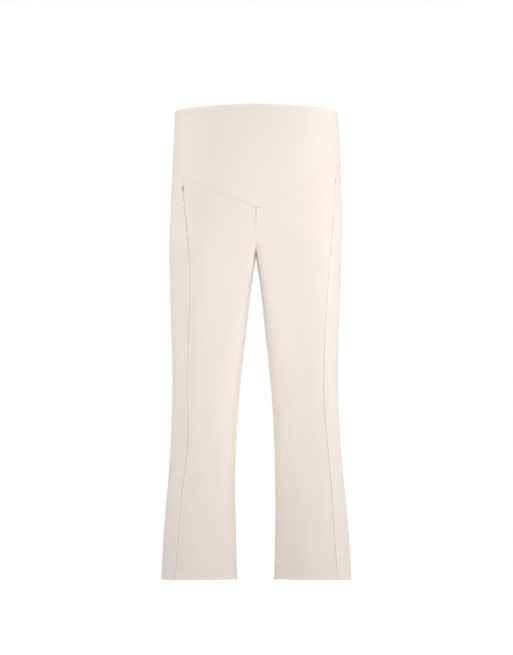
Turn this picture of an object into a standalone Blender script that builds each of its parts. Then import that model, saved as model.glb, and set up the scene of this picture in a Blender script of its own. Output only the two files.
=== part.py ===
"""Maternity trousers in smooth jersey, filled out as when worn and open at the waist and hems.

A high over-bump panel is joined by a V-shaped yoke seam to kick-flare legs. The side seams are set forward, onto the
face of each leg, and hold in-seam pockets at the hip. Metres, +Z up. The wearer faces -Y, so the wearer's right is
at -X. The origin is the middle of the waist opening, where the wearer holds the garment up.

Every piece lies on one surface. A place on it is a side of the body, an angle round that side's section and a height
above the hem: 0 degrees is the inseam, 90 the front, 180 the outer side, 270 the back and 360 the inseam again. Above
the crotch each section is cut off at the middle of the body, where the two halves meet.
"""

from collections import namedtuple
from math import pi

import bmesh
import bpy
import numpy as np

# Lengths along the body, as heights above the hem at the side
WAIST_HEIGHT = 1.005
CROTCH_HEIGHT = 0.695

# Cloth
WALL = 0.0016
BAG_WALL = 0.0012
SEAM_GAP = 0.0003
YOKE_INSET = 0.6 * SEAM_GAP
BAG_GAP = 0.0012

# The top edge is cut in an arch over the bump, and the hems stand a little higher in front than behind
TOP_ARCH = 0.0065
TOP_ARCH_POWER = 4
HEM_TILT = 0.003

# How far above the crotch the two legs' sections take to merge into one, in front and over the seat, and how much
# of each half's width the gap between the legs takes, per metre, as they part
FRONT_FORK = 0.078
SEAT_FORK = 0.113
FORK_OPENING = 1.86

# Outer and inner edges seen from the front, for the wearer's right and left, depths before and behind the sides, and
# the roundness of the inner half in front, of the inner half behind and of the outer half: 2 is an ellipse, and more
# is squarer
Section = namedtuple(
    "Section", "height out_right out_left in_right in_left front back round_front round_in round_out"
)
SECTIONS = (
    Section(1.030, 0.1740, 0.1740, 0.0000, 0.0000, 0.120, 0.106, 2.25, 2.25, 2.25),
    Section(0.972, 0.1752, 0.1776, 0.0000, 0.0000, 0.133, 0.102, 2.25, 2.25, 2.25),
    Section(0.895, 0.1785, 0.1825, 0.0000, 0.0000, 0.142, 0.101, 2.35, 2.35, 2.30),
    Section(0.840, 0.1815, 0.1836, 0.0000, 0.0000, 0.139, 0.109, 2.50, 2.45, 2.40),
    Section(0.792, 0.1836, 0.1854, 0.0000, 0.0000, 0.131, 0.119, 2.90, 2.60, 2.50),
    Section(0.740, 0.1853, 0.1848, 0.0000, 0.0000, 0.120, 0.125, 5.50, 2.80, 2.55),
    Section(0.695, 0.1856, 0.1842, 0.0000, 0.0000, 0.111, 0.119, 12.00, 3.20, 2.40),
    Section(0.640, 0.1847, 0.1824, 0.0090, 0.0087, 0.103, 0.104, 11.00, 2.80, 2.30),
    Section(0.547, 0.1828, 0.1788, 0.0193, 0.0188, 0.089, 0.085, 6.50, 2.30, 2.30),
    Section(0.443, 0.1796, 0.1762, 0.0314, 0.0298, 0.077, 0.070, 3.40, 2.20, 2.30),
    Section(0.340, 0.1812, 0.1789, 0.0394, 0.0374, 0.067, 0.066, 2.60, 2.10, 2.25),
    Section(0.276, 0.1838, 0.1828, 0.0436, 0.0400, 0.063, 0.071, 2.40, 2.10, 2.20),
    Section(0.224, 0.1875, 0.1873, 0.0450, 0.0412, 0.064, 0.076, 2.10, 2.10, 2.10),
    Section(0.134, 0.1955, 0.1959, 0.0440, 0.0420, 0.072, 0.082, 2.10, 2.10, 2.10),
    Section(0.044, 0.2010, 0.2025, 0.0420, 0.0405, 0.081, 0.087, 2.10, 2.10, 2.10),
    Section(-0.010, 0.2030, 0.2048, 0.0408, 0.0397, 0.086, 0.090, 2.10, 2.10, 2.10),
)

# The front-set side seams: distance from the middle of the body, seen from the front
SideSeam = namedtuple("SideSeam", "height right left")
SIDE_SEAMS = (
    SideSeam(0.900, 0.1600, 0.1725),
    SideSeam(0.840, 0.1560, 0.1695),
    SideSeam(0.780, 0.1510, 0.1660),
    SideSeam(0.720, 0.1450, 0.1605),
    SideSeam(0.660, 0.1400, 0.1550),
    SideSeam(0.580, 0.1410, 0.1500),
    SideSeam(0.480, 0.1445, 0.1450),
    SideSeam(0.380, 0.1455, 0.1450),
    SideSeam(0.280, 0.1460, 0.1530),
    SideSeam(0.200, 0.1560, 0.1605),
    SideSeam(0.100, 0.1640, 0.1665),
    SideSeam(0.000, 0.1720, 0.1740),
)

# The yoke seam in front: its height at shares of the way from the middle to the side
Yoke = namedtuple("Yoke", "share right left")
FRONT_YOKE = (
    Yoke(0.00, 0.7905, 0.7905),
    Yoke(0.05, 0.7942, 0.7910),
    Yoke(0.12, 0.7993, 0.7945),
    Yoke(0.20, 0.8056, 0.8000),
    Yoke(0.40, 0.8215, 0.8205),
    Yoke(0.60, 0.8345, 0.8455),
    Yoke(0.80, 0.8520, 0.8710),
    Yoke(1.00, 0.8780, 0.8940),
)
BACK_YOKE_MIDDLE = 0.858
BACK_YOKE_BEND = 1.6
YOKE_TRIES = 6

# Pockets in the side seams: the ends of each opening, and how far its front edge stands back from the seam
Pocket = namedtuple("Pocket", "side top bottom gape")
POCKETS = {
    -1: Pocket(-1, 0.838, 0.700, 0.0030),
    1: Pocket(1, 0.857, 0.712, 0.0024),
}

# Mesh of the pieces, in faces: rows up them, and columns from the middle to the side seam, on to the side, and behind
LEG_ROWS = 20
HIP_ROWS = 13
PANEL_ROWS = 9
FRONT_COLUMNS = 11
SIDE_COLUMNS = 4
BACK_COLUMNS = 16

# A pocket bag lies under these faces of its leg: columns before and behind the seam, and rows up from its foot
BAG_FRONT_COLUMNS = 5
BAG_BACK_COLUMNS = 1
BAG_FOOT_ROW = 19
BAG_ROWS = 13

CREAM = (0.80, 0.73, 0.66, 1.0)
POCKET_CREAM = (0.74, 0.67, 0.60, 1.0)
CLOTH_ROUGHNESS = 0.85


def smooth_curve(places, values):
    """The natural cubic spline through a column of a table, which keeps its end values outside the table."""
    order = np.argsort(places)
    places = np.array(places, float)[order]
    values = np.array(values, float)[order]
    spans = np.diff(places)
    slopes = np.diff(values) / spans
    last = len(places) - 1
    system = np.eye(last + 1)
    sides = np.zeros(last + 1)
    for i in range(1, last):
        system[i, i - 1 : i + 2] = spans[i - 1], 2 * (spans[i - 1] + spans[i]), spans[i]
        sides[i] = 6 * (slopes[i] - slopes[i - 1])
    bends = np.linalg.solve(system, sides)

    def read(at):
        at = np.clip(at, places[0], places[-1])
        i = np.clip(np.searchsorted(places, at) - 1, 0, last - 1)
        below = at - places[i]
        above = places[i + 1] - at
        curved = (bends[i] * above**3 + bends[i + 1] * below**3) / (6 * spans[i])
        from_low = (values[i] / spans[i] - bends[i] * spans[i] / 6) * above
        from_high = (values[i + 1] / spans[i] - bends[i + 1] * spans[i] / 6) * below
        return curved + from_low + from_high

    return read


def column(table, place, name):
    """One named column of a table against another, as a smooth curve."""
    return smooth_curve([getattr(row, place) for row in table], [getattr(row, name) for row in table])


SIDE_NAMES = {-1: "right", 1: "left"}
LEG_SECTIONS = [row for row in SECTIONS if row.height <= CROTCH_HEIGHT]
OUTER_EDGE = {side: column(SECTIONS, "height", "out_" + word) for side, word in SIDE_NAMES.items()}
INNER_EDGE = {side: column(LEG_SECTIONS, "height", "in_" + word) for side, word in SIDE_NAMES.items()}
FRONT_DEPTH = column(SECTIONS, "height", "front")
BACK_DEPTH = column(SECTIONS, "height", "back")
ROUND_FRONT = column(SECTIONS, "height", "round_front")
ROUND_IN = column(SECTIONS, "height", "round_in")
ROUND_OUT = column(SECTIONS, "height", "round_out")
SIDE_SEAM = {side: column(SIDE_SEAMS, "height", word) for side, word in SIDE_NAMES.items()}
YOKE_SEAM = {side: column(FRONT_YOKE, "share", word) for side, word in SIDE_NAMES.items()}


def section(side, in_front, height):
    """Centre, half width and depth of a section, for the places in front or behind of the sides.

    A leg's section reaches from its inner edge to its outer edge. Above the crotch it grows past the middle of the
    body, where it is cut off, until it is centred there: fork is its centre's distance over its half width. It
    leaves the crotch at the rate at which the legs part, and ends level.
    """
    above = height - CROTCH_HEIGHT
    outer = OUTER_EDGE[side](height)
    inner = np.where(above < 0, INNER_EDGE[side](height), 0) + SEAM_GAP / 2
    length = np.where(in_front, FRONT_FORK, SEAT_FORK)
    risen = np.clip(above / length, 0, 1)
    opening = FORK_OPENING * length * risen
    fork = (1 - risen) ** 3 * (1 + 3 * risen + 6 * risen**2 - opening * (1 + 3 * risen))
    half_width = (outer - inner) / (1 + fork)
    return outer - half_width, half_width, np.where(in_front, FRONT_DEPTH(height), BACK_DEPTH(height))


def section_roundness(inner_half, in_front, height):
    inner = np.where(in_front, ROUND_FRONT(height), ROUND_IN(height))
    return np.where(inner_half, inner, ROUND_OUT(height))


def surface(side, angle, height):
    """The outer face of the cloth at an angle and a height."""
    in_front = angle <= pi
    centre, half_width, depth = section(side, in_front, height)
    roundness = section_roundness(np.cos(angle) > 0, in_front, height)
    reach = (np.abs(np.cos(angle)) ** roundness + np.abs(np.sin(angle)) ** roundness) ** (-1 / roundness)
    x = side * (centre - half_width * reach * np.cos(angle))
    y = -depth * reach * np.sin(angle)
    return np.stack([x, y, height - WAIST_HEIGHT], axis=-1)


def normal(side, angle, height):
    """The cloth's outward direction, from two short steps on its surface."""
    step = 1e-4
    round_step = surface(side, angle + step, height) - surface(side, angle - step, height)
    up_step = surface(side, angle, height + step) - surface(side, angle, height - step)
    out = side * np.cross(round_step, up_step)
    return out / np.linalg.norm(out, axis=-1, keepdims=True)


def angle_at(side, in_front, distance, height):
    """The angle from the inseam at which a section stands a distance from the middle of the body."""
    centre, half_width, _ = section(side, in_front, height)
    across = np.clip((centre - distance) / half_width, -1, 1)
    roundness = section_roundness(across > 0, in_front, height)
    return np.arctan2((1 - np.abs(across) ** roundness) ** (1 / roundness), across)


def middle_angle(side, in_front, height):
    """The angle at which a section starts: the middle of the body above the crotch, and the inseam below it."""
    inseam = SEAM_GAP / 2 / section(side, in_front, height)[2]
    above = np.maximum(angle_at(side, in_front, SEAM_GAP / 2, height), inseam)
    return np.where(height > CROTCH_HEIGHT, above, inseam)


def side_seam_angle(side, height):
    return angle_at(side, True, SIDE_SEAM[side](height), height)


def yoke_height(side, angle, height):
    """The height of the yoke seam at an angle, near a height."""
    share = np.abs(surface(side, angle, height)[..., 0]) / OUTER_EDGE[side](height)
    share = np.clip(share, 0, 1)
    end = YOKE_SEAM[side](1.0)
    behind = BACK_YOKE_MIDDLE + (end - BACK_YOKE_MIDDLE) * share**BACK_YOKE_BEND
    return np.where(angle <= pi, YOKE_SEAM[side](share), behind)


def pocket_gape(pocket, height):
    """How far the front edge of a pocket's opening stands back from the seam at a height."""
    along = np.clip((height - pocket.bottom) / (pocket.top - pocket.bottom), 0, 1)
    return pocket.gape * np.sin(pi * along)


def leg_angle(side, in_front, across, height):
    """The angle of a leg piece's column, at a share of the way across the piece from front to back.

    Above the crotch a front piece's columns crowd to the middle, so that those on the face of the leg run straight on.
    """
    half_gap = SEAM_GAP / 2 / section(side, True, height)[1]
    seam = side_seam_angle(side, height)
    if in_front:
        start = middle_angle(side, True, height)
        drawn_back = pocket_gape(POCKETS[side], height) / section(side, True, height)[1]
        crowding = 1 + np.sin(2 * start)
        return start + (seam - half_gap - drawn_back - start) * across**crowding
    step = across * (SIDE_COLUMNS + BACK_COLUMNS)
    to_side = np.clip(step / SIDE_COLUMNS, 0, 1)
    behind = np.clip((step - SIDE_COLUMNS) / BACK_COLUMNS, 0, 1)
    end = 2 * pi - middle_angle(side, False, height)
    return seam + half_gap + (pi - seam - half_gap) * to_side + (end - pi) * behind


def leg_places(side, in_front, across, up):
    """Angles and heights of a leg piece, for shares of the way across it and up it.

    Rows run level up to the crotch, then rise to the yoke seam, and crowd together at the fork of the body, where the
    rise seam turns from level to upright.
    """
    crotch_share = LEG_ROWS / (LEG_ROWS + HIP_ROWS)
    up_leg = np.clip(up / crotch_share, 0, 1)
    up_hip = np.clip((up - crotch_share) / (1 - crotch_share), 0, 1)
    from_middle = across if in_front else 1 - across
    even = np.clip(from_middle, 0, 1) ** 0.5
    up_hip = up_hip**2 * (1 - even) + up_hip * even
    top = np.full_like(across, FRONT_YOKE[-1].left)
    for _ in range(YOKE_TRIES):
        top = yoke_height(side, leg_angle(side, in_front, across, top), top)
    level = CROTCH_HEIGHT * up_leg + (top - YOKE_INSET - CROTCH_HEIGHT) * up_hip
    height = level + (1 - up_leg) * HEM_TILT * np.sin(leg_angle(side, in_front, across, level))
    return leg_angle(side, in_front, across, height), height


def panel_places(side, in_front, across, up):
    """Angles and heights of one half of a bump panel: 0 across is the middle of the body, 1 is the side.

    Its columns stand on those of the leg pieces below it.
    """
    half_gap = SEAM_GAP / 2 / OUTER_EDGE[side](WAIST_HEIGHT)
    low = np.full_like(across, FRONT_YOKE[-1].left)
    for _ in range(YOKE_TRIES):
        if in_front:
            step = across * (FRONT_COLUMNS + SIDE_COLUMNS)
            to_seam = np.clip(step / FRONT_COLUMNS, 0, 1)
            to_side = np.clip((step - FRONT_COLUMNS) / SIDE_COLUMNS, 0, 1)
            seam = side_seam_angle(side, low)
            angle = pi / 2 + (seam - pi / 2) * to_seam + (pi - half_gap - seam) * to_side
        else:
            angle = 3 * pi / 2 - across * (pi / 2 - half_gap)
        low = yoke_height(side, angle, low)
    high = WAIST_HEIGHT + TOP_ARCH * np.clip(np.sin(angle), 0, 1) ** TOP_ARCH_POWER
    return angle, low + YOKE_INSET + (high - low - YOKE_INSET) * up


def wall(name, columns, rows, place, thickness, colour, depth=0.0):
    """One piece of cloth as a closed wall: place gives a side, angles and heights for shares across and up."""
    bm = bmesh.new()
    bmesh.ops.create_grid(bm, x_segments=columns, y_segments=rows, size=0.5)
    outer = list(bm.verts)
    shares = np.array([vert.co[:2] for vert in outer]) + 0.5
    points, out = place(shares[:, 0], shares[:, 1])
    edges = [edge for edge in bm.edges if edge.is_boundary]
    made = bmesh.ops.duplicate(bm, geom=bm.verts[:] + bm.edges[:] + bm.faces[:])
    inner_of = made["vert_map"]
    for vert, point, direction in zip(outer, points, out):
        vert.co = point - direction * depth
        inner_of[vert].co = point - direction * (depth + thickness)
    for edge in edges:
        first, second = edge.verts
        bm.faces.new((first, second, inner_of[second], inner_of[first]))
    bmesh.ops.recalc_face_normals(bm, faces=bm.faces)
    if bm.calc_volume(signed=True) < 0:
        bmesh.ops.reverse_faces(bm, faces=bm.faces)
    mesh = bpy.data.meshes.new(name)
    bm.to_mesh(mesh)
    bm.free()
    mesh.shade_smooth()
    mesh.set_sharp_from_angle(angle=pi / 3)
    piece = bpy.data.objects.new(name, mesh)
    bpy.context.scene.collection.objects.link(piece)
    mesh.materials.append(cloth(name, colour))
    return piece


def cloth(name, colour):
    material = bpy.data.materials.new(name)
    material.use_nodes = True
    shader = material.node_tree.nodes["Principled BSDF"]
    shader.inputs["Base Color"].default_value = colour
    shader.inputs["Roughness"].default_value = CLOTH_ROUGHNESS
    shader.inputs["Metallic"].default_value = 0.0
    return material


def make_leg(side, in_front):
    """The front or the back of one leg, from the yoke seam to the hem."""

    def place(across, up):
        angle, height = leg_places(side, in_front, across, up)
        return surface(side, angle, height), normal(side, angle, height)

    name = ("front" if in_front else "back") + "_leg_" + SIDE_NAMES[side]
    columns = FRONT_COLUMNS if in_front else SIDE_COLUMNS + BACK_COLUMNS
    wall(name, columns, LEG_ROWS + HIP_ROWS, place, WALL, CREAM)


def make_panel(in_front):
    """The front or the back of the over-bump panel, which spans both sides of the body."""

    def place(across, up):
        points = np.zeros((len(across), 3))
        out = np.zeros((len(across), 3))
        for side in SIDE_NAMES:
            share = np.abs(2 * across - 1)
            angle, height = panel_places(side, in_front, share, up)
            here = (across >= 0.5) == (side > 0)
            points[here] = surface(side, angle, height)[here]
            out[here] = normal(side, angle, height)[here]
        middle = np.abs(across - 0.5) < 1e-6
        points[middle, 0] = 0
        out[middle, 0] = 0
        return points, out

    name = "bump_panel_" + ("front" if in_front else "back")
    half_columns = FRONT_COLUMNS + SIDE_COLUMNS if in_front else BACK_COLUMNS
    wall(name, 2 * half_columns, PANEL_ROWS, place, WALL, CREAM)


def make_pocket_bag(side):
    """A bag behind a pocket's opening, made from the points of the leg over it and moved in."""
    columns = BAG_FRONT_COLUMNS + 1 + BAG_BACK_COLUMNS

    def place(across, up):
        step = np.round(across * columns)
        row = np.round(up * BAG_ROWS) + BAG_FOOT_ROW
        before = step <= BAG_FRONT_COLUMNS
        front_share = np.where(before, 1 - (BAG_FRONT_COLUMNS - step) / FRONT_COLUMNS, 1)
        back_share = np.where(before, 0, (step - BAG_FRONT_COLUMNS - 1) / (SIDE_COLUMNS + BACK_COLUMNS))
        up_leg = row / (LEG_ROWS + HIP_ROWS)
        front_angle, front_height = leg_places(side, True, front_share, up_leg)
        back_angle, back_height = leg_places(side, False, back_share, up_leg)
        angle = np.where(before, front_angle, back_angle)
        height = np.where(before, front_height, back_height)
        return surface(side, angle, height), normal(side, angle, height)

    wall("pocket_bag_" + SIDE_NAMES[side], columns, BAG_ROWS, place, BAG_WALL, POCKET_CREAM, depth=WALL + BAG_GAP)


def main():
    for old in list(bpy.data.objects):
        bpy.data.objects.remove(old)
    for in_front in (True, False):
        make_panel(in_front)
        for side in SIDE_NAMES:
            make_leg(side, in_front)
    for side in SIDE_NAMES:
        make_pocket_bag(side)


main()
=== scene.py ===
from collections import namedtuple
from math import hypot, pi, radians

import bmesh
import bpy
import numpy as np
from mathutils import Matrix, Vector


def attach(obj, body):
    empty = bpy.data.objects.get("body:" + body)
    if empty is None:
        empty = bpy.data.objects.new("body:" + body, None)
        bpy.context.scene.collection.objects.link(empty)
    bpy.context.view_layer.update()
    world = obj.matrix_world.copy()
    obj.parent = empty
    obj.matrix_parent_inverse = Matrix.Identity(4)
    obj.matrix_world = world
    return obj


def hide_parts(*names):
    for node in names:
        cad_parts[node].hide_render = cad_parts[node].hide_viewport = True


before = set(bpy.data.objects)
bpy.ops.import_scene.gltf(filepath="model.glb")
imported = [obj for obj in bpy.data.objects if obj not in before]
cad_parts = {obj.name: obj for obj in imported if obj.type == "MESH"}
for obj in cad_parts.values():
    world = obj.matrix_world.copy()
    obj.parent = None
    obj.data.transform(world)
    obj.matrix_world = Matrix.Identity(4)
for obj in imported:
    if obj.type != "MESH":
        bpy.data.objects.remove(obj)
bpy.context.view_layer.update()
print("frame loaded:", ", ".join(sorted(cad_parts)))


# The trousers' own form. Heights are above the side hem, and the wearer's right is -1 and left is 1.
form = {
    "waistHeight": 1.005,
    "crotchHeight": 0.695,
    "seamGap": 0.00006,
    "topArch": 0.0065,
    "topArchPower": 4,
    "hemTilt": 0.003,
    "frontFork": 0.078,  # how far above the crotch the two legs merge, in front and over the seat
    "seatFork": 0.113,
    "forkOpening": 1.86,
    "backYokeMiddle": 0.858,
    "backYokeBend": 1.6,
    "yokeTries": 6,
    "sideNames": {-1: "right", 1: "left"},
}

sectionRow = namedtuple(
    "sectionRow", "height outRight outLeft inRight inLeft front back roundFront roundIn roundOut"
)
sectionTable = (
    sectionRow(1.030, 0.1740, 0.1740, 0.0000, 0.0000, 0.120, 0.106, 2.25, 2.25, 2.25),
    sectionRow(0.972, 0.1752, 0.1776, 0.0000, 0.0000, 0.133, 0.102, 2.25, 2.25, 2.25),
    sectionRow(0.895, 0.1785, 0.1825, 0.0000, 0.0000, 0.142, 0.101, 2.35, 2.35, 2.30),
    sectionRow(0.840, 0.1815, 0.1836, 0.0000, 0.0000, 0.139, 0.109, 2.50, 2.45, 2.40),
    sectionRow(0.792, 0.1836, 0.1854, 0.0000, 0.0000, 0.131, 0.119, 2.90, 2.60, 2.50),
    sectionRow(0.740, 0.1853, 0.1848, 0.0000, 0.0000, 0.120, 0.125, 5.50, 2.80, 2.55),
    sectionRow(0.695, 0.1856, 0.1842, 0.0000, 0.0000, 0.111, 0.119, 12.00, 3.20, 2.40),
    sectionRow(0.640, 0.1847, 0.1824, 0.0090, 0.0087, 0.103, 0.104, 11.00, 2.80, 2.30),
    sectionRow(0.547, 0.1828, 0.1788, 0.0193, 0.0188, 0.089, 0.085, 6.50, 2.30, 2.30),
    sectionRow(0.443, 0.1796, 0.1762, 0.0314, 0.0298, 0.077, 0.070, 3.40, 2.20, 2.30),
    sectionRow(0.340, 0.1812, 0.1789, 0.0394, 0.0374, 0.067, 0.066, 2.60, 2.10, 2.25),
    sectionRow(0.276, 0.1838, 0.1828, 0.0436, 0.0400, 0.063, 0.071, 2.40, 2.10, 2.20),
    sectionRow(0.224, 0.1875, 0.1873, 0.0450, 0.0412, 0.064, 0.076, 2.10, 2.10, 2.10),
    sectionRow(0.134, 0.1955, 0.1959, 0.0440, 0.0420, 0.072, 0.082, 2.10, 2.10, 2.10),
    sectionRow(0.044, 0.2010, 0.2025, 0.0420, 0.0405, 0.081, 0.087, 2.10, 2.10, 2.10),
    sectionRow(-0.010, 0.2030, 0.2048, 0.0408, 0.0397, 0.086, 0.090, 2.10, 2.10, 2.10),
)

# The side seams stand forward, on the face of the legs: distance from the middle of the body
sideSeamRow = namedtuple("sideSeamRow", "height right left")
sideSeamTable = (
    sideSeamRow(0.900, 0.1600, 0.1725),
    sideSeamRow(0.840, 0.1560, 0.1695),
    sideSeamRow(0.780, 0.1510, 0.1660),
    sideSeamRow(0.720, 0.1450, 0.1605),
    sideSeamRow(0.660, 0.1400, 0.1550),
    sideSeamRow(0.580, 0.1410, 0.1500),
    sideSeamRow(0.480, 0.1445, 0.1450),
    sideSeamRow(0.380, 0.1455, 0.1450),
    sideSeamRow(0.280, 0.1460, 0.1530),
    sideSeamRow(0.200, 0.1560, 0.1605),
    sideSeamRow(0.100, 0.1640, 0.1665),
    sideSeamRow(0.000, 0.1720, 0.1740),
)

# The V of the yoke seam in front: its height at shares of the way from the middle to the side
yokeRow = namedtuple("yokeRow", "share right left")
yokeTable = (
    yokeRow(0.00, 0.7905, 0.7905),
    yokeRow(0.05, 0.7942, 0.7910),
    yokeRow(0.12, 0.7993, 0.7945),
    yokeRow(0.20, 0.8056, 0.8000),
    yokeRow(0.40, 0.8215, 0.8205),
    yokeRow(0.60, 0.8345, 0.8455),
    yokeRow(0.80, 0.8520, 0.8710),
    yokeRow(1.00, 0.8780, 0.8940),
)


# A natural cubic spline through one column of a table, level past its ends
def smoothCurve(places, values):
    order = np.argsort(places)
    places = np.array(places, float)[order]
    values = np.array(values, float)[order]
    spans = np.diff(places)
    slopes = np.diff(values) / spans
    last = len(places) - 1
    system = np.eye(last + 1)
    sides = np.zeros(last + 1)
    for i in range(1, last):
        system[i, i - 1 : i + 2] = spans[i - 1], 2 * (spans[i - 1] + spans[i]), spans[i]
        sides[i] = 6 * (slopes[i] - slopes[i - 1])
    bends = np.linalg.solve(system, sides)

    def read(at):
        at = np.clip(at, places[0], places[-1])
        i = np.clip(np.searchsorted(places, at) - 1, 0, last - 1)
        below = at - places[i]
        above = places[i + 1] - at
        curved = (bends[i] * above**3 + bends[i + 1] * below**3) / (6 * spans[i])
        fromLow = (values[i] / spans[i] - bends[i] * spans[i] / 6) * above
        fromHigh = (values[i + 1] / spans[i] - bends[i + 1] * spans[i] / 6) * below
        return curved + fromLow + fromHigh

    return read


def tableColumn(table, place, name):
    return smoothCurve([getattr(row, place) for row in table], [getattr(row, name) for row in table])


def bothSides(table, place, word):
    return {
        side: tableColumn(table, place, word + (name.capitalize() if word else name))
        for side, name in form["sideNames"].items()
    }


legSections = [row for row in sectionTable if row.height <= form["crotchHeight"]]
outerEdge = bothSides(sectionTable, "height", "out")
innerEdge = bothSides(legSections, "height", "in")
sideSeamAt = bothSides(sideSeamTable, "height", "")
yokeSeamAt = bothSides(yokeTable, "share", "")
frontDepth = tableColumn(sectionTable, "height", "front")
backDepth = tableColumn(sectionTable, "height", "back")
roundFront = tableColumn(sectionTable, "height", "roundFront")
roundIn = tableColumn(sectionTable, "height", "roundIn")
roundOut = tableColumn(sectionTable, "height", "roundOut")


# Centre, half width and depth of a section, in front or behind. Above the crotch it reaches past the
# middle of the body, where it is cut off.
def bodySection(side, inFront, height):
    above = height - form["crotchHeight"]
    outer = outerEdge[side](height)
    inner = np.where(above < 0, innerEdge[side](height), 0) + form["seamGap"] / 2
    length = np.where(inFront, form["frontFork"], form["seatFork"])
    risen = np.clip(above / length, 0, 1)
    opening = form["forkOpening"] * length * risen
    fork = (1 - risen) ** 3 * (1 + 3 * risen + 6 * risen**2 - opening * (1 + 3 * risen))
    halfWidth = (outer - inner) / (1 + fork)
    return outer - halfWidth, halfWidth, np.where(inFront, frontDepth(height), backDepth(height))


def sectionRoundness(innerHalf, inFront, height):
    return np.where(innerHalf, np.where(inFront, roundFront(height), roundIn(height)), roundOut(height))


# A place on the cloth: 0 degrees is the inseam, 90 the front, 180 the outer side, 270 the back and 360 again
# the inseam
def clothPoint(side, angle, height):
    inFront = angle <= pi
    centre, halfWidth, depth = bodySection(side, inFront, height)
    power = sectionRoundness(np.cos(angle) > 0, inFront, height)
    reach = (np.abs(np.cos(angle)) ** power + np.abs(np.sin(angle)) ** power) ** (-1 / power)
    x = side * (centre - halfWidth * reach * np.cos(angle))
    y = -depth * reach * np.sin(angle)
    return np.stack([x, y, height - form["waistHeight"]], axis=-1)


def clothNormal(side, angle, height):
    step = 1e-4
    roundStep = clothPoint(side, angle + step, height) - clothPoint(side, angle - step, height)
    upStep = clothPoint(side, angle, height + step) - clothPoint(side, angle, height - step)
    out = side * np.cross(roundStep, upStep)
    return out / np.linalg.norm(out, axis=-1, keepdims=True)


def angleAt(side, inFront, distance, height):
    centre, halfWidth, _ = bodySection(side, inFront, height)
    across = np.clip((centre - distance) / halfWidth, -1, 1)
    power = sectionRoundness(across > 0, inFront, height)
    return np.arctan2((1 - np.abs(across) ** power) ** (1 / power), across)


def middleAngle(side, inFront, height):
    inseam = form["seamGap"] / 2 / bodySection(side, inFront, height)[2]
    above = np.maximum(angleAt(side, inFront, form["seamGap"] / 2, height), inseam)
    return np.where(height > form["crotchHeight"], above, inseam)


def sideSeamAngle(side, height):
    return angleAt(side, True, sideSeamAt[side](height) + pocketWander(side, height), height)


def yokeHeight(side, angle, height):
    share = np.clip(np.abs(clothPoint(side, angle, height)[..., 0]) / outerEdge[side](height), 0, 1)
    end = yokeSeamAt[side](1.0)
    behind = form["backYokeMiddle"] + (end - form["backYokeMiddle"]) * share ** form["backYokeBend"]
    return np.where(angle <= pi, yokeSeamAt[side](share), behind)


# In-seam pockets. The front edge stands back from the seam and ripples a little, as a worn opening does.
pocket = {
    -1: {"top": 0.834, "bottom": 0.682, "gape": 0.0005, "ripple": 0.0004, "bartack": 0.011},
    1: {"top": 0.851, "bottom": 0.708, "gape": 0.0004, "ripple": 0.0003, "bartack": 0.006},
    # Waves, counted from end to end. They come closer together towards the top.
    "ripples": 6.5,
    "rippleCrowding": 1.3,
    "puckers": 9,
    "puckerCrowding": 1.2,
    "puckerDepth": 0.0009,
    "puckerReach": 0.0045,
    "wander": 0.0009,
}


def pocketAlong(side, height):
    opening = pocket[side]
    return np.clip((height - opening["bottom"]) / (opening["top"] - opening["bottom"]), 0, 1)


def pocketWaves(side, height, count, crowding):
    along = pocketAlong(side, height)
    return np.sin(2 * pi * count * along**crowding)


# Waves that the puckers of a pocket opening and the wander of its seam share
def pocketWave(side, height):
    waves = pocketWaves(side, height, pocket["puckers"], pocket["puckerCrowding"])
    return waves * np.sin(pi * pocketAlong(side, height))


def pocketWander(side, height):
    return pocket["wander"] * pocketWave(side, height)


def pocketGape(side, height):
    waves = pocketWaves(side, height, pocket["ripples"], pocket["rippleCrowding"])
    ripple = pocket[side]["ripple"] * waves
    return (pocket[side]["gape"] + ripple) * np.sin(pi * pocketAlong(side, height))


def legAngle(side, inFront, across, height):
    halfGap = form["seamGap"] / 2 / bodySection(side, True, height)[1]
    seam = sideSeamAngle(side, height)
    if inFront:
        start = middleAngle(side, True, height)
        drawnBack = pocketGape(side, height) / bodySection(side, True, height)[1]
        # Columns on the face of the leg run straight on above the crotch
        crowding = 1 + np.sin(2 * start)
        return start + (seam - halfGap - drawnBack - start) * across**crowding
    toSide = np.clip(across / legShape["sideShare"], 0, 1)
    behind = np.clip((across - legShape["sideShare"]) / (1 - legShape["sideShare"]), 0, 1)
    end = 2 * pi - middleAngle(side, False, height)
    return seam + halfGap + (pi - seam - halfGap) * toSide + (end - pi) * behind


# Rows of a leg run level up to the crotch, then rise to the yoke seam. They crowd together at the fork.
legShape = {
    "legShare": 20 / 33,  # of the rows, below the crotch
    "sideShare": 0.20,  # of a back piece's columns, before the side of the body
    "crowding": 0.5,
}


def legPlaces(side, inFront, across, up):
    upLeg = np.clip(up / legShape["legShare"], 0, 1)
    upHip = np.clip((up - legShape["legShare"]) / (1 - legShape["legShare"]), 0, 1)
    fromMiddle = across if inFront else 1 - across
    even = np.clip(fromMiddle, 0, 1) ** legShape["crowding"]
    upHip = upHip**2 * (1 - even) + upHip * even
    top = np.full_like(across, yokeTable[-1].left)
    for _ in range(form["yokeTries"]):
        top = yokeHeight(side, legAngle(side, inFront, across, top), top)
    level = form["crotchHeight"] * upLeg + (top - form["seamGap"] / 2 - form["crotchHeight"]) * upHip
    height = level + (1 - upLeg) * form["hemTilt"] * np.sin(legAngle(side, inFront, across, level))
    return legAngle(side, inFront, across, height), height


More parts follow.
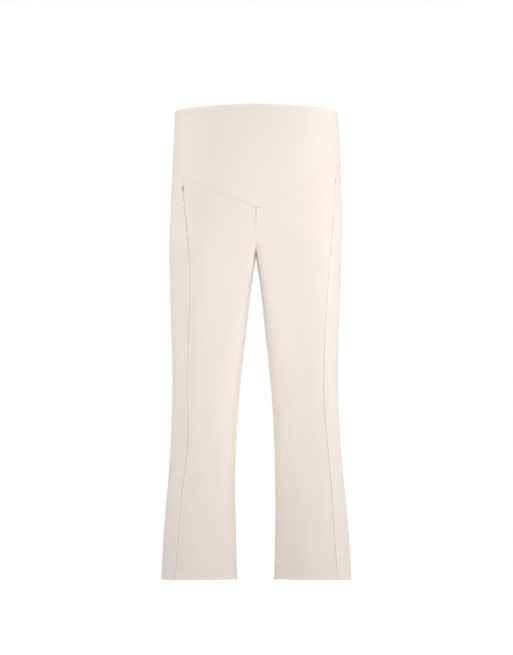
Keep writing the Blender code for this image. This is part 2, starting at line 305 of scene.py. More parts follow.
def panelPlaces(side, inFront, across, up):
    halfGap = form["seamGap"] / 2 / outerEdge[side](form["waistHeight"])
    if inFront:
        angle = pi / 2 + across * (pi / 2 - halfGap)
    else:
        angle = 3 * pi / 2 - across * (pi / 2 - halfGap)
    low = np.full_like(across, yokeTable[-1].left)
    for _ in range(form["yokeTries"]):
        low = yokeHeight(side, angle, low)
    high = form["waistHeight"] + form["topArch"] * np.clip(np.sin(angle), 0, 1) ** form["topArchPower"]
    return angle, low + form["seamGap"] / 2 + (high - low - form["seamGap"] / 2) * up


# The cloth, its sewn edges and its folded edges, all in metres
cloth = {
    "thickness": 0.0013,
    "hemThickness": 0.0024,
    "hemDepth": 0.0170,
    "hemStep": 0.0012,
    "hemProud": 0.0004,
    "waistDepth": 0.0115,
    "waistProud": 0.0003,
    "doubledTone": 0.022,  # doubled cloth lets less of the dark inside through
    "ridge": 0.00080,
    "ridgeWidth": 0.0036,
    "groove": 0.00110,
    "grooveWidth": 0.0009,
    # A seam gets a painted highlight on its ridge and painted shade in its groove
    "paintedRidgeHighlight": 0.060,
    "paintedRidgeHighlightAt": 0.0024,
    "paintedRidgeHighlightWidth": 0.0013,
    "paintedGrooveShade": 0.14,
    "paintedGrooveShadeWidth": 0.0012,
    # How strongly each kind of seam shows
    "seamStrength": {"sewn": 0.80, "pocket": 1.0, "yoke": 0.45},
    # Strength of the middle seam's painted shade and highlight on the faces of the legs
    "middlePaintedSeamShading": 0.6,
    "middleFace": 0.9,  # of the depth in front: what lies further forward is the face of a leg
    # Distances from an edge at which the mesh has its first lines, so that the edge can be rounded
    "edgeLines": (
        0.0002, 0.0004, 0.0007, 0.0011, 0.0016, 0.0022, 0.0029, 0.0038, 0.0050, 0.0066, 0.0088, 0.0115
    ),
}


# Shares from 0 to 1 across a piece of some size, even in the middle and close together at both edges
def lineShares(size, pitch):
    near = [0.0] + [distance / size for distance in cloth["edgeLines"]]
    rest = 1 - 2 * near[-1]
    between = max(2, round(rest * size / pitch))
    middle = [near[-1] + rest * i / between for i in range(1, between)]
    return np.array(near + middle + [1 - share for share in reversed(near)])


def edgeRound(distance, radius):
    inside = np.clip(1 - distance / radius, 0, 1)
    return radius * (1 - np.sqrt(1 - inside**2))


# 1 at no distance, soon falling to nothing
def bell(distance, width):
    return np.exp(-((distance / width) ** 2))


def seamRelief(distance):
    groove = cloth["groove"] * bell(distance, cloth["grooveWidth"])
    return cloth["ridge"] * bell(distance, cloth["ridgeWidth"]) - groove


# Painted shade in a seam's groove and a painted highlight on its ridge, by distance from the seam
def paintedSeamShading(distance):
    groove = cloth["paintedGrooveShade"] * bell(distance, cloth["paintedGrooveShadeWidth"])
    return cloth["paintedRidgeHighlight"] * bell(distance - cloth["paintedRidgeHighlightAt"], cloth["paintedRidgeHighlightWidth"]) - groove


# 1 where the cloth is turned over and doubled, up to some distance from an edge
def doubledShare(distance, depth):
    return 0.5 - 0.5 * np.tanh((distance - depth) / cloth["hemStep"])


# Just above the crotch the middle seam's edges are out of sight between the legs, so its line is painted on
# the face of each leg as painted shade in a groove and a painted highlight beside it
def middlePaintedSeamShading(points):
    height = points[..., 2] + form["waistHeight"]
    above = np.clip((height - form["crotchHeight"]) / form["frontFork"], 0, 1)
    onFace = points[..., 1] < -cloth["middleFace"] * frontDepth(height)
    tone = cloth["middlePaintedSeamShading"] * (1 - above) * paintedSeamShading(np.abs(points[..., 0]))
    return np.where(onFace & (above > 0), tone, 0)


# Both edges of a pocket opening pucker a little along their stitching
def puckerRelief(points, distance):
    relief = np.zeros(distance.shape)
    for side in form["sideNames"]:
        wave = pocketWave(side, points[..., 2] + form["waistHeight"])
        relief += np.where(points[..., 0] * side > 0, wave, 0)
    return pocket["puckerDepth"] * relief * bell(distance, pocket["puckerReach"])


# How far each row or column of points runs from its first point, along the cloth
def runLengths(points, axis):
    steps = np.linalg.norm(np.diff(points, axis=axis), axis=-1)
    start = np.zeros_like(np.take(steps, [0], axis=axis))
    return np.cumsum(np.concatenate([start, steps], axis=axis), axis=axis)


# Creases and pulls in the cloth: troughs are below zero. A path is (degrees, height).
creaseRow = namedtuple("creaseRow", "side path width depth")
creaseTable = (
    creaseRow(-1, ((134, 0.990), (132, 0.880), (128, 0.760)), 0.016, -0.0006),
    creaseRow(1, ((129, 0.985), (128, 0.890), (126, 0.790)), 0.014, -0.0006),
    creaseRow(-1, ((304, 0.668), (284, 0.655), (262, 0.652), (238, 0.664)), 0.0085, -0.0039),
    creaseRow(1, ((306, 0.672), (288, 0.660), (266, 0.658), (246, 0.668)), 0.0076, -0.0033),
    creaseRow(-1, ((318, 0.636), (300, 0.622), (280, 0.620)), 0.0068, -0.0023),
    creaseRow(1, ((322, 0.642), (302, 0.626), (286, 0.619)), 0.0076, -0.0025),
    creaseRow(-1, ((330, 0.690), (312, 0.708), (296, 0.735)), 0.0059, -0.0019),
    creaseRow(1, ((332, 0.694), (315, 0.715), (301, 0.738)), 0.0059, -0.0016),
    creaseRow(-1, ((300, 0.446), (276, 0.434), (248, 0.440), (226, 0.452)), 0.0076, -0.0033),
    creaseRow(-1, ((306, 0.412), (282, 0.405), (256, 0.398)), 0.0068, -0.0025),
    creaseRow(-1, ((268, 0.376), (244, 0.370), (222, 0.382)), 0.0068, -0.0018),
    creaseRow(1, ((304, 0.452), (278, 0.441), (254, 0.436)), 0.0076, -0.0029),
    creaseRow(1, ((298, 0.420), (270, 0.408), (240, 0.412), (222, 0.424)), 0.0076, -0.0034),
    creaseRow(1, ((288, 0.382), (266, 0.376), (246, 0.384)), 0.0059, -0.0018),
    creaseRow(-1, ((206, 0.470), (196, 0.452), (188, 0.446)), 0.0068, -0.0014),
    creaseRow(1, ((204, 0.458), (196, 0.444), (186, 0.440)), 0.0068, -0.0015),
)
creaseShape = {
    "points": 13,  # along each path
    "reach": 3,  # widths from the path at which a crease has faded out
    "fade": 0.8,
}


def creasePath(crease):
    degrees, heights = np.array(crease.path, float).T
    along = np.linspace(0, len(degrees) - 1, creaseShape["points"])
    places = np.arange(len(degrees))
    angles = np.radians(smoothCurve(places, degrees)(along))
    return clothPoint(crease.side, angles, smoothCurve(places, heights)(along))


# How far points are from a path, and how far along it their nearest place is, from 0 to 1
def placeOnPath(points, path):
    best = np.full(len(points), np.inf)
    share = np.zeros(len(points))
    for i, (start, end) in enumerate(zip(path[:-1], path[1:])):
        run = end - start
        t = np.clip((points - start) @ run / (run @ run), 0, 1)
        gap = np.linalg.norm(points - start - t[:, None] * run, axis=-1)
        closer = gap < best
        best = np.where(closer, gap, best)
        share = np.where(closer, (i + t) / (len(path) - 1), share)
    return best, share


def creaseRelief(points):
    relief = np.zeros(points.shape[:-1])
    for crease in creaseTable:
        path = creasePath(crease)
        reach = creaseShape["reach"] * crease.width
        inReach = (points > path.min(axis=0) - reach) & (points < path.max(axis=0) + reach)
        near = np.all(inReach, axis=-1)
        if near.any():
            gap, share = placeOnPath(points[near], path)
            faded = np.clip(np.sin(pi * share), 0, 1) ** creaseShape["fade"]
            relief[near] += crease.depth * faded * bell(gap, crease.width)
    return relief


# Small pulls where stitching gathers the cloth: the ends of the pockets, and the point of the V
dimpleRow = namedtuple("dimpleRow", "depth reach")
dimples = {
    "top": dimpleRow(0.0024, 0.0042),
    "bottom": dimpleRow(0.0010, 0.0040),
    "point": dimpleRow(0.0026, 0.0026),
}


def dimplePlaces():
    places = [(clothPoint(1, pi / 2, yokeTable[0].left), dimples["point"])]
    for side in form["sideNames"]:
        for end in ("top", "bottom"):
            height = pocket[side][end]
            places.append((clothPoint(side, sideSeamAngle(side, height), height), dimples[end]))
    return places


def dimpleRelief(points):
    relief = np.zeros(points.shape[:-1])
    for place, dimple in dimplePlaces():
        relief -= dimple.depth * bell(np.linalg.norm(points - place, axis=-1), dimple.reach)
    return relief


# Helpers for meshes and objects
def meshFrom(bm, name):
    mesh = bpy.data.meshes.new(name)
    bm.to_mesh(mesh)
    bm.free()
    return mesh


def addObject(name, data):
    added = bpy.data.objects.new(name, data)
    bpy.context.scene.collection.objects.link(added)
    return added


def turnOutwards(mesh):
    bm = bmesh.new()
    bm.from_mesh(mesh)
    if bm.calc_volume(signed=True) < 0:
        bmesh.ops.reverse_faces(bm, faces=bm.faces)
        bm.to_mesh(mesh)
    bm.free()


# A closed flat wall of two grids, one above the other. It gives which row and column each point is in, and
# whether it is in the lower grid.
def flatWall(name, columnCount, rowCount):
    bm = bmesh.new()
    bmesh.ops.create_grid(bm, x_segments=columnCount - 1, y_segments=rowCount - 1, size=0.5)
    made = bmesh.ops.extrude_face_region(bm, geom=bm.faces[:], use_keep_orig=True)
    lower = [item for item in made["geom"] if isinstance(item, bmesh.types.BMVert)]
    bmesh.ops.translate(bm, verts=lower, vec=(0, 0, -1))
    bmesh.ops.recalc_face_normals(bm, faces=bm.faces)
    mesh = meshFrom(bm, name)
    places = np.zeros(3 * len(mesh.vertices))
    mesh.vertices.foreach_get("co", places)
    places = places.reshape(-1, 3)
    column = np.rint((places[:, 0] + 0.5) * (columnCount - 1)).astype(int)
    row = np.rint((places[:, 1] + 0.5) * (rowCount - 1)).astype(int)
    return mesh, row, column, places[:, 2] < -0.5


# What the edges of a piece do to its relief, thickness, turning over and tone; the tone holds the painted
# seam shade and highlights
def edgeShaping(points, distances, edges, thickness):
    relief = creaseRelief(points) + dimpleRelief(points)
    thick = np.full(relief.shape, thickness)
    turned = np.zeros(relief.shape)
    tone = np.ones(relief.shape)
    for edge, kind in edges.items():
        distance = distances[edge]
        if kind in cloth["seamStrength"]:
            relief += cloth["seamStrength"][kind] * seamRelief(distance)
            # painted shade in the seam's groove and a painted highlight on its ridge
            tone += cloth["seamStrength"][kind] * paintedSeamShading(distance)
        if kind == "pocket":
            relief += puckerRelief(points, distance)
        if kind == "hemmed":
            doubled = doubledShare(distance, cloth["hemDepth"])
            thick += (cloth["hemThickness"] - thickness) * doubled
            relief += cloth["hemProud"] * doubled
            tone += cloth["doubledTone"] * doubled
        if kind == "folded":
            doubled = doubledShare(distance, cloth["waistDepth"])
            relief += cloth["waistProud"] * doubled
            tone += cloth["doubledTone"] * doubled
        if kind in ("hemmed", "folded"):
            turned = np.maximum(turned, edgeRound(distance, thick / 2))
    return relief, thick, turned, tone


# One piece of cloth as a thin closed wall. place gives points and outward directions for shares across and up
# it. Edges are named left, right, low and high, each sewn, pocket, yoke, folded or hemmed, or else open.
def clothPiece(name, columns, rows, place, edges, material, depth=0.0, thickness=cloth["thickness"]):
    across, up = np.meshgrid(columns, rows)
    points, out = place(across, up)
    fromLeft = runLengths(points, 1)
    fromLow = runLengths(points, 0)
    distances = {
        "left": fromLeft,
        "right": fromLeft[:, -1:] - fromLeft,
        "low": fromLow,
        "high": fromLow[-1:, :] - fromLow,
    }
    relief, thick, turned, tone = edgeShaping(points, distances, edges, thickness)
    # the middle seam's painted shade and highlight on the face of the front legs
    if name.startswith("front_leg"):
        tone += middlePaintedSeamShading(points)
    outer = points + out * (relief - turned - depth)[..., None]
    inner = points + out * (relief + turned - depth - thick)[..., None]

    mesh, row, column, within = flatWall(name, len(columns), len(rows))
    final = np.where(within[:, None], inner[row, column], outer[row, column])
    mesh.vertices.foreach_set("co", final.ravel())
    # The tone, with the painted seam shade and highlights, goes to the material as a point attribute
    mesh.attributes.new("paintedSeamShading", "FLOAT", "POINT").data.foreach_set("value", tone[row, column])

    # The knit follows the cloth through its own map, in metres
    corners = np.zeros(len(mesh.loops), int)
    mesh.loops.foreach_get("vertex_index", corners)
    flat = np.stack([fromLeft[row, column], fromLow[row, column]], axis=-1)[corners]
    mesh.uv_layers.new(name="cloth").data.foreach_set("uv", flat.ravel())
    mesh.update()
    turnOutwards(mesh)
    mesh.shade_smooth()
    piece = addObject(name + "_cloth", mesh)
    mesh.materials.append(material)
    return piece, {"outer": outer, "out": out, "distances": distances}


def legPlace(side, inFront):
    def place(across, up):
        angle, height = legPlaces(side, inFront, across, up)
        return clothPoint(side, angle, height), clothNormal(side, angle, height)

    return place


def panelPlace(inFront):
    def place(across, up):
        share = np.abs(2 * across - 1)
        points = np.zeros(across.shape + (3,))
        out = np.zeros(across.shape + (3,))
        for side in form["sideNames"]:
            angle, height = panelPlaces(side, inFront, share, up)
            here = (across >= 0.5) == (side > 0)
            points[here] = clothPoint(side, angle, height)[here]
            out[here] = clothNormal(side, angle, height)[here]
        return points, out

    return place


# A pocket bag lies under its leg, from some way before the seam to just behind it
bag = {
    "before": 5 / 11,  # of the front piece's width
    "behind": 1 / 20,  # of the back piece's width
    "seamFrom": 5 / 7,  # of the bag's own width
    "seamTo": 6 / 7,
    "footShare": 19 / 33,
    "headShare": 32 / 33,
    "thickness": 0.0011,
    "under": 0.0021,
}


def bagPlace(side):
    def place(across, up):
        upLeg = bag["footShare"] + (bag["headShare"] - bag["footShare"]) * up
        before = np.clip(across / bag["seamFrom"], 0, 1)
        crossed = np.clip((across - bag["seamFrom"]) / (bag["seamTo"] - bag["seamFrom"]), 0, 1)
        behind = np.clip((across - bag["seamTo"]) / (1 - bag["seamTo"]), 0, 1)
        frontAngle, frontHeight = legPlaces(side, True, 1 - bag["before"] * (1 - before), upLeg)
        backAngle, backHeight = legPlaces(side, False, bag["behind"] * behind, upLeg)
        angle = frontAngle * (1 - crossed) + backAngle * crossed
        height = frontHeight * (1 - crossed) + backHeight * crossed
        return clothPoint(side, angle, height), clothNormal(side, angle, height)

    return place


# Stitches, each a small long grain of thread, set end to end along a line on the cloth
stitch = {"length": 0.0026, "gap": 0.0005, "width": 0.00050, "height": 0.00032, "sunk": 0.00004}


def grainOfThread():
    bm = bmesh.new()
    bmesh.ops.create_icosphere(bm, subdivisions=1, radius=0.5)
    return meshFrom(bm, "grain")


# A line on a piece at a distance from one of its edges, as points and outward directions
def lineFromEdge(grid, edge, distance):
    axis = 0 if edge in ("low", "high") else 1
    order = slice(None, None, -1) if edge in ("high", "right") else slice(None)
    distances = np.moveaxis(grid["distances"][edge], axis, 0)[order]

    def read(values):
        values = np.moveaxis(values, axis, 0)[order]
        across = range(values.shape[1])
        return np.array(
            [[np.interp(distance, distances[:, k], values[:, k, c]) for c in range(3)] for k in across]
        )

    return read(grid["outer"]), read(grid["out"])


def addStitch(bm, grain, start, end, out):
    along = Vector(end - start)
    length = along.length
    along.normalize()
    aside = Vector(out).cross(along).normalized()
    up = along.cross(aside)
    middle = Vector((start + end) / 2) + up * (stitch["height"] / 2 - stitch["sunk"])
    turn = Matrix((along, aside, up)).transposed().to_4x4()
    size = Matrix.Diagonal((length, stitch["width"], stitch["height"], 1))
    placed = grain.copy()
    placed.transform(Matrix.Translation(middle) @ turn @ size)
    bm.from_mesh(placed)
    bpy.data.meshes.remove(placed)


def addStitchRow(bm, grain, points, out):
    run = runLengths(points, 0)
    pitch = stitch["length"] + stitch["gap"]

    def at(length, values):
        return np.array([np.interp(length, run, values[:, c]) for c in range(3)])

    for k in range(int(run[-1] / pitch)):
        start = k * pitch + stitch["gap"] / 2
        end = start + stitch["length"]
        addStitch(bm, grain, at(start, points), at(end, points), at((start + end) / 2, out))


def stitchedPiece(name, bm, material):
    mesh = meshFrom(bm, name)
    mesh.shade_smooth()
    piece = addObject(name, mesh)
    mesh.materials.append(material)
    return piece


# Helpers for materials
def addNode(tree, kind, place, **values):
    node = tree.nodes.new(kind)
    node.location = place
    for key, value in values.items():
        setattr(node, key, value)
    return node


def mathNode(tree, operation, place, *inputs):
    node = addNode(tree, "ShaderNodeMath", place, operation=operation)
    for i, value in enumerate(inputs):
        if isinstance(value, (int, float)):
            node.inputs[i].default_value = value
        else:
            tree.links.new(value, node.inputs[i])
    return node.outputs[0]


def setInputs(node, values):
    for label, value in values.items():
        node.inputs[label].default_value = value


def newGroup(name, inputs, outputs):
    group = bpy.data.node_groups.new(name, "ShaderNodeTree")
    for label, kind in inputs:
        group.interface.new_socket(name=label, in_out="INPUT", socket_type=kind)
    for label, kind in outputs:
        group.interface.new_socket(name=label, in_out="OUTPUT", socket_type=kind)
    start = addNode(group, "NodeGroupInput", (-900, 0))
    end = addNode(group, "NodeGroupOutput", (900, 0))
    return group, start, end


# Jersey: upright wales of V-shaped loops, from a map in metres
knit = {
    "lean": 0.45,  # of a course, by which the sides of a loop rise
    "loopHeight": 0.72,
    "loopSwell": 0.24,
    "roundness": 2.4,
    "shade": 0.93,
    "shadeSwell": 0.10,
}


def knitGroup():
    group, start, end = newGroup(
        "jerseyKnit",
        (
            ("Map", "NodeSocketVector"),
            ("Wale Width", "NodeSocketFloat"),
            ("Course Height", "NodeSocketFloat"),
        ),
        (("Height", "NodeSocketFloat"), ("Shade", "NodeSocketFloat")),
    )
    parts = addNode(group, "ShaderNodeSeparateXYZ", (-700, 0))
    group.links.new(start.outputs["Map"], parts.inputs[0])
    wale = mathNode(group, "DIVIDE", (-500, 150), parts.outputs[0], start.outputs["Wale Width"])
    course = mathNode(group, "DIVIDE", (-500, -150), parts.outputs[1], start.outputs["Course Height"])
    inWale = mathNode(group, "FRACT", (-340, 150), wale)
    signed = mathNode(group, "MULTIPLY_ADD", (-180, 150), inWale, 2.0, -1.0)
    fromMiddle = mathNode(group, "ABSOLUTE", (-20, 150), signed)
    leaning = mathNode(group, "MULTIPLY_ADD", (-180, -150), fromMiddle, knit["lean"], course)
    turn = mathNode(group, "MULTIPLY", (-20, -150), leaning, 2 * pi)
    wave = mathNode(group, "COSINE", (140, -150), turn)
    loops = mathNode(group, "MULTIPLY_ADD", (300, -150), wave, knit["loopSwell"], knit["loopHeight"])
    edge = mathNode(group, "POWER", (140, 150), fromMiddle, knit["roundness"])
    rounded = mathNode(group, "SUBTRACT", (300, 150), 1.0, edge)
    height = mathNode(group, "MULTIPLY", (480, 0), loops, rounded)
    shade = mathNode(group, "MULTIPLY_ADD", (640, -100), height, knit["shadeSwell"], knit["shade"])
    group.links.new(height, end.inputs["Height"])
    group.links.new(shade, end.inputs["Shade"])
    return group


# Yarn and dye are never quite even: broad soft patches, and fine flecks
unevenness = {
    "patches": {"Scale": 9.0, "Detail": 3.0},
    "flecks": {"Scale": 950.0, "Detail": 2.0},
    "roughness": 0.86,
    "roughnessSwing": 0.16,
}


def unevenGroup():
    group, start, end = newGroup(
        "unevenCloth",
        (
            ("Place", "NodeSocketVector"),
            ("Color", "NodeSocketColor"),
            ("Shade", "NodeSocketFloat"),
            ("Patches", "NodeSocketFloat"),
            ("Flecks", "NodeSocketFloat"),
        ),
        (("Color", "NodeSocketColor"), ("Roughness", "NodeSocketFloat"), ("Fuzz", "NodeSocketFloat")),
    )
    broad = addNode(group, "ShaderNodeTexNoise", (-600, 200))
    setInputs(broad, unevenness["patches"])
    fine = addNode(group, "ShaderNodeTexNoise", (-600, -100))
    setInputs(fine, unevenness["flecks"])
    for noise in (broad, fine):
        group.links.new(start.outputs["Place"], noise.inputs["Vector"])
    patch = mathNode(group, "SUBTRACT", (-400, 200), broad.outputs[0], 0.5)
    fleck = mathNode(group, "SUBTRACT", (-400, -100), fine.outputs[0], 0.5)
    patchTone = mathNode(group, "MULTIPLY_ADD", (-220, 200), patch, start.outputs["Patches"], 1.0)
    tone = mathNode(group, "MULTIPLY_ADD", (-60, 100), fleck, start.outputs["Flecks"], patchTone)
    shaded = mathNode(group, "MULTIPLY", (100, 100), tone, start.outputs["Shade"])
    scaled = addNode(group, "ShaderNodeVectorMath", (300, 100), operation="SCALE")
    group.links.new(start.outputs["Color"], scaled.inputs[0])
    group.links.new(shaded, scaled.inputs["Scale"])
    swing, middle = unevenness["roughnessSwing"], unevenness["roughness"]
    roughness = mathNode(group, "MULTIPLY_ADD", (300, -80), fleck, swing, middle)
    group.links.new(scaled.outputs[0], end.inputs["Color"])
    group.links.new(roughness, end.inputs["Roughness"])
    group.links.new(fine.outputs[0], end.inputs["Fuzz"])
    return group


# A material whose colour and roughness are uneven, which cloth and thread share
unevenNodes = namedtuple("unevenNodes", "material tree shader place uneven")


def unevenMaterial(name, look):
    material = bpy.data.materials.new(name)
    material.use_nodes = True
    tree = material.node_tree
    shader = tree.nodes["Principled BSDF"]
    shader.inputs["Specular IOR Level"].default_value = look["specular"]
    place = addNode(tree, "ShaderNodeTexCoord", (-1100, 0))
    uneven = addNode(tree, "ShaderNodeGroup", (-600, 0), node_tree=unevenCloth)
    setInputs(uneven, {"Color": look["color"] + (1.0,), "Shade": 1.0})
    setInputs(uneven, {"Patches": look["patches"], "Flecks": look["flecks"]})
    tree.links.new(place.outputs["Object"], uneven.inputs["Place"])
    tree.links.new(uneven.outputs["Color"], shader.inputs["Base Color"])
    tree.links.new(uneven.outputs["Roughness"], shader.inputs["Roughness"])
    return unevenNodes(material, tree, shader, place, uneven)


def threadMaterial(name, look):
    return unevenMaterial(name, look).material


def clothMaterial(name, look):
    material, tree, shader, place, uneven = unevenMaterial(name, look)
    loops = addNode(tree, "ShaderNodeGroup", (-850, 150), node_tree=knitLoops)
    setInputs(loops, {"Wale Width": look["waleWidth"], "Course Height": look["courseHeight"]})
    # This attribute brings in the painted shade in the seam grooves and the painted highlights on the seam
    # ridges, darkening and lightening the base colour
    seams = addNode(tree, "ShaderNodeAttribute", (-1100, 400), attribute_name="paintedSeamShading")
    shade = mathNode(tree, "MULTIPLY", (-750, 300), loops.outputs["Shade"], seams.outputs["Fac"])
    fuzz, height = uneven.outputs["Fuzz"], loops.outputs["Height"]
    relief = mathNode(tree, "MULTIPLY_ADD", (-400, -250), fuzz, look["fuzz"], height)
    bump = addNode(tree, "ShaderNodeBump", (-220, -250))
    setInputs(bump, {"Strength": look["bump"], "Distance": look["bumpDepth"]})
    tree.links.new(place.outputs["UV"], loops.inputs["Map"])
    tree.links.new(shade, uneven.inputs["Shade"])
    tree.links.new(relief, bump.inputs["Height"])
    tree.links.new(bump.outputs[0], shader.inputs["Normal"])
    setInputs(shader, {"Sheen Weight": look["sheen"], "Sheen Roughness": look["sheenRoughness"]})
    shader.inputs["Sheen Tint"].default_value = look["sheenTint"] + (1.0,)
    return material


jerseyLook = {
    "color": (0.800, 0.729, 0.656),
    "waleWidth": 0.00075,
    "courseHeight": 0.00060,
    "patches": 0.030,
    "flecks": 0.045,
    "fuzz": 0.35,
    "bump": 0.35,
    "bumpDepth": 0.00012,
    "sheen": 0.60,
    "sheenRoughness": 0.32,
    "sheenTint": (1.0, 0.97, 0.93),
    "specular": 0.25,
}
pocketLook = {
    **jerseyLook,
    "color": (0.700, 0.622, 0.545),
    "waleWidth": 0.0010,
    "courseHeight": 0.0008,
    "sheen": 0.10,
}
threadLook = {"color": (0.700, 0.615, 0.530), "patches": 0.02, "flecks": 0.08, "specular": 0.35}
# The bartack thread's dark brown is painted shadow, standing for the shade at the top of the pocket opening
bartackPaintedShadowLook = {**threadLook, "color": (0.330, 0.235, 0.190)}

knitLoops = knitGroup()
unevenCloth = unevenGroup()
jersey = clothMaterial("creamJersey", jerseyLook)
pocketJersey = clothMaterial("pocketJersey", pocketLook)
thread = threadMaterial("sewingThread", threadLook)
bartackPaintedShadowThread = threadMaterial("bartackPaintedShadowThread", bartackPaintedShadowLook)
print("materials made")


# Each piece's mesh pitch, edges and cut. The flat sizes are the cut of what shows, before wear stretches it.
pieceRow = namedtuple("pieceRow", "pitch size flat area")
pieces = {
    "bump_panel_front": pieceRow((0.0030, 0.0022), (0.43, 0.17), (0.410, 0.220), 0.0770),
    "bump_panel_back": pieceRow((0.0036, 0.0022), (0.42, 0.14), (0.380, 0.155), 0.0565),
    "front_leg": pieceRow((0.0014, 0.0040), (0.15, 0.85), (0.175, 0.860), 0.1325),
    "back_leg": pieceRow((0.0029, 0.0031), (0.30, 0.85), (0.360, 0.870), 0.2700),
    "pocket_bag": pieceRow((0.0030, 0.0040), (0.09, 0.20), (0.100, 0.215), 0.0200),
}
sewing = {"hemRows": (0.0125, 0.0175), "waistRows": (0.0085, 0.0110), "pocketRow": 0.0045}
# A bartack closes the top of each pocket opening
bartack = {"width": 0.0026, "pitch": 0.00042, "proud": 0.0006}

grain = grainOfThread()


def finishPiece(piece, node, sewn=()):
    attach(piece, "root")
    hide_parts(node)
    for stitches in sewn:
        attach(stitches, "root")


def gridShares(kind):
    (acrossPitch, upPitch), (width, length) = pieces[kind].pitch, pieces[kind].size
    return lineShares(width, acrossPitch), lineShares(length, upPitch)


def makePanel(inFront):
    node = "bump_panel_front" if inFront else "bump_panel_back"
    columns, rows = gridShares(node)
    edges = {"left": "sewn", "right": "sewn", "low": "yoke", "high": "folded"}
    piece, grid = clothPiece(node, columns, rows, panelPlace(inFront), edges, jersey)
    bm = bmesh.new()
    for distance in sewing["waistRows"]:
        points, out = lineFromEdge(grid, "high", distance)
        addStitchRow(bm, grain, points, out)
    finishPiece(piece, node, [stitchedPiece(node + "_stitches", bm, thread)])


# Threads laid side by side across the seam: real bartack stitches, coloured dark brown as painted shadow at
# the top of the pocket opening
def makeBartack(side):
    bm = bmesh.new()
    length = pocket[side]["bartack"]
    heights = pocket[side]["top"] + np.arange(-length / 2, length / 2, bartack["pitch"])
    angles = sideSeamAngle(side, heights)
    out = clothNormal(side, angles, heights)
    aside = np.cross(out, (0, 0, 1)) * bartack["width"] / 2
    places = clothPoint(side, angles, heights) + out * bartack["proud"]
    for place, reach, facing in zip(places, aside, out):
        addStitch(bm, grain, place - reach, place + reach, facing)
    return stitchedPiece("bartack_" + form["sideNames"][side], bm, bartackPaintedShadowThread)


def makeLeg(side, inFront):
    kind = "front_leg" if inFront else "back_leg"
    node = kind + "_" + form["sideNames"][side]
    columns, rows = gridShares(kind)
    edges = {"left": "sewn", "right": "sewn", "low": "hemmed", "high": "yoke"}
    edges["right" if inFront else "left"] = "pocket"
    piece, grid = clothPiece(node, columns, rows, legPlace(side, inFront), edges, jersey)
    bm = bmesh.new()
    for distance in sewing["hemRows"]:
        points, out = lineFromEdge(grid, "low", distance)
        addStitchRow(bm, grain, points, out)
    sewn = []
    if inFront:
        points, out = lineFromEdge(grid, "right", sewing["pocketRow"])
        along = pocketAlong(side, points[:, 2] + form["waistHeight"])
        beside = (along > 0) & (along < 1)
        addStitchRow(bm, grain, points[beside], out[beside])
        sewn.append(makeBartack(side))
    sewn.append(stitchedPiece(node + "_stitches", bm, thread))
    finishPiece(piece, node, sewn)


def makeBag(side):
    node = "pocket_bag_" + form["sideNames"][side]
    columns, rows = gridShares("pocket_bag")
    piece, _ = clothPiece(
        node, columns, rows, bagPlace(side), {}, pocketJersey, depth=bag["under"], thickness=bag["thickness"]
    )
    finishPiece(piece, node)


for inFront in (True, False):
    makePanel(inFront)
    for side in form["sideNames"]:
        makeLeg(side, inFront)
for side in form["sideNames"]:
    makeBag(side)
bpy.data.meshes.remove(grain)
print("cloth made")


# Camera as in the photograph: far off, below the middle of the trousers, looking a little up
view = {
    "distance": 7.5,
    "height": 0.30,
    "middleHeight": 0.541,
    "middleAside": 0.0011,
    "pixel": 0.00215,
    "pictureHeight": 655,
    "halfSensor": 18,
    "farEnd": 100,
}


def makeCamera():
    camera = bpy.data.cameras.new("camera")
    rise = view["middleHeight"] - view["height"]
    reach = hypot(view["distance"], rise)
    camera.lens = view["halfSensor"] * reach / (view["pictureHeight"] / 2 * view["pixel"])
    camera.clip_end = view["farEnd"]
    rig = addObject("camera", camera)
    rig.location = (view["middleAside"], -view["distance"], view["height"] - form["waistHeight"])
    rig.rotation_euler = Vector((0, view["distance"], rise)).to_track_quat("-Z", "Y").to_euler()
    bpy.context.scene.camera = rig


# Plain pale floor well below the hems, a white room, and broad soft lights. The small light between the legs
# stands for what a white floor throws up.
studio = {
    "floorDrop": 0.20,
    "floorSize": 60.0,
    "floorColor": (0.80, 0.80, 0.80, 1.0),
    "roomLight": 0.63,
    "roomSeen": 1.0,
    # name: place, aim, size, power, spread in degrees
    "lights": {
        "key": ((0.7, -2.3, 0.05), (0.05, 0.0, -0.20), 1.2, 2.4, 52),
        "sideLeft": ((-2.1, -1.15, -0.45), (0.05, 0.0, -0.45), 0.7, 2.8, 90),
        "sideRight": ((2.1, -1.15, -0.45), (-0.05, 0.0, -0.45), 0.7, 3.4, 90),
        "rimRight": ((2.2, 0.5, 0.5), (0.0, 0.0, -0.1), 1.2, 2.4, 70),
        "rimLeft": ((-2.2, 0.5, 0.7), (0.0, 0.0, -0.05), 1.0, 1.7, 50),
        "betweenLegs": ((0.0, -0.1, -1.16), (0.0, -0.03, -0.3), 0.12, 0.046, 31),
    },
}


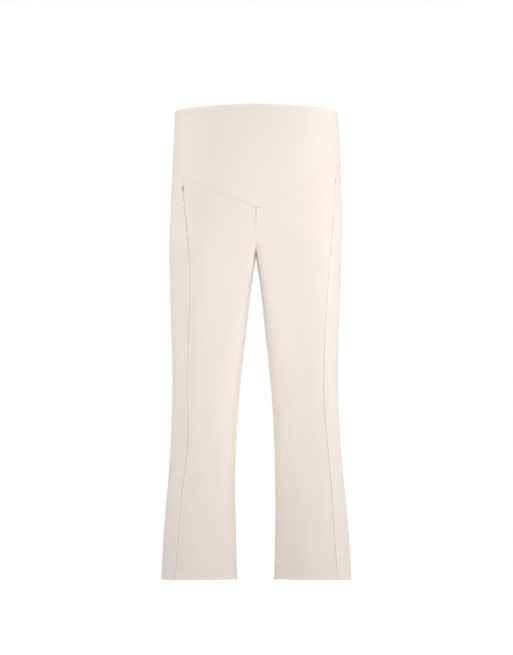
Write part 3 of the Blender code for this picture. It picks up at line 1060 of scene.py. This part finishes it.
def makeFloor():
    bm = bmesh.new()
    bmesh.ops.create_grid(bm, x_segments=1, y_segments=1, size=studio["floorSize"] / 2)
    bmesh.ops.translate(bm, verts=bm.verts, vec=(0, 0, -form["waistHeight"] - studio["floorDrop"]))
    mesh = meshFrom(bm, "floor")
    floor = addObject("floor", mesh)
    material = bpy.data.materials.new("paleFloor")
    material.use_nodes = True
    tree = material.node_tree
    shader = tree.nodes["Principled BSDF"]
    setInputs(shader, {"Base Color": studio["floorColor"], "Roughness": 1.0, "Specular IOR Level": 0.0})
    seen = addNode(tree, "ShaderNodeEmission", (0, -300))
    ray = addNode(tree, "ShaderNodeLightPath", (0, 500))
    mix = addNode(tree, "ShaderNodeMixShader", (300, 0))
    tree.links.new(ray.outputs["Is Camera Ray"], mix.inputs[0])
    tree.links.new(shader.outputs[0], mix.inputs[1])
    tree.links.new(seen.outputs[0], mix.inputs[2])
    tree.links.new(mix.outputs[0], tree.nodes["Material Output"].inputs["Surface"])
    mesh.materials.append(material)


def makeRoom():
    world = bpy.data.worlds.new("room")
    bpy.context.scene.world = world
    world.use_nodes = True
    tree = world.node_tree
    tree.nodes.clear()
    lit = addNode(tree, "ShaderNodeBackground", (-200, 100))
    lit.inputs["Strength"].default_value = studio["roomLight"]
    seen = addNode(tree, "ShaderNodeBackground", (-200, -100))
    seen.inputs["Strength"].default_value = studio["roomSeen"]
    for background in (lit, seen):
        background.inputs["Color"].default_value = (1, 1, 1, 1)
    ray = addNode(tree, "ShaderNodeLightPath", (-200, 400))
    mix = addNode(tree, "ShaderNodeMixShader", (50, 0))
    end = addNode(tree, "ShaderNodeOutputWorld", (250, 0))
    tree.links.new(ray.outputs["Is Camera Ray"], mix.inputs[0])
    tree.links.new(lit.outputs[0], mix.inputs[1])
    tree.links.new(seen.outputs[0], mix.inputs[2])
    tree.links.new(mix.outputs[0], end.inputs[0])


def makeLights():
    for name, (place, aim, size, power, spread) in studio["lights"].items():
        light = bpy.data.lights.new(name, "AREA")
        light.size = size
        light.energy = power
        light.spread = radians(spread)
        lamp = addObject(name, light)
        lamp.location = place
        lamp.rotation_euler = (Vector(aim) - Vector(place)).to_track_quat("-Z", "Y").to_euler()


makeCamera()
makeFloor()
makeRoom()
makeLights()
bpy.context.scene.view_settings.view_transform = "Standard"
print("studio made")
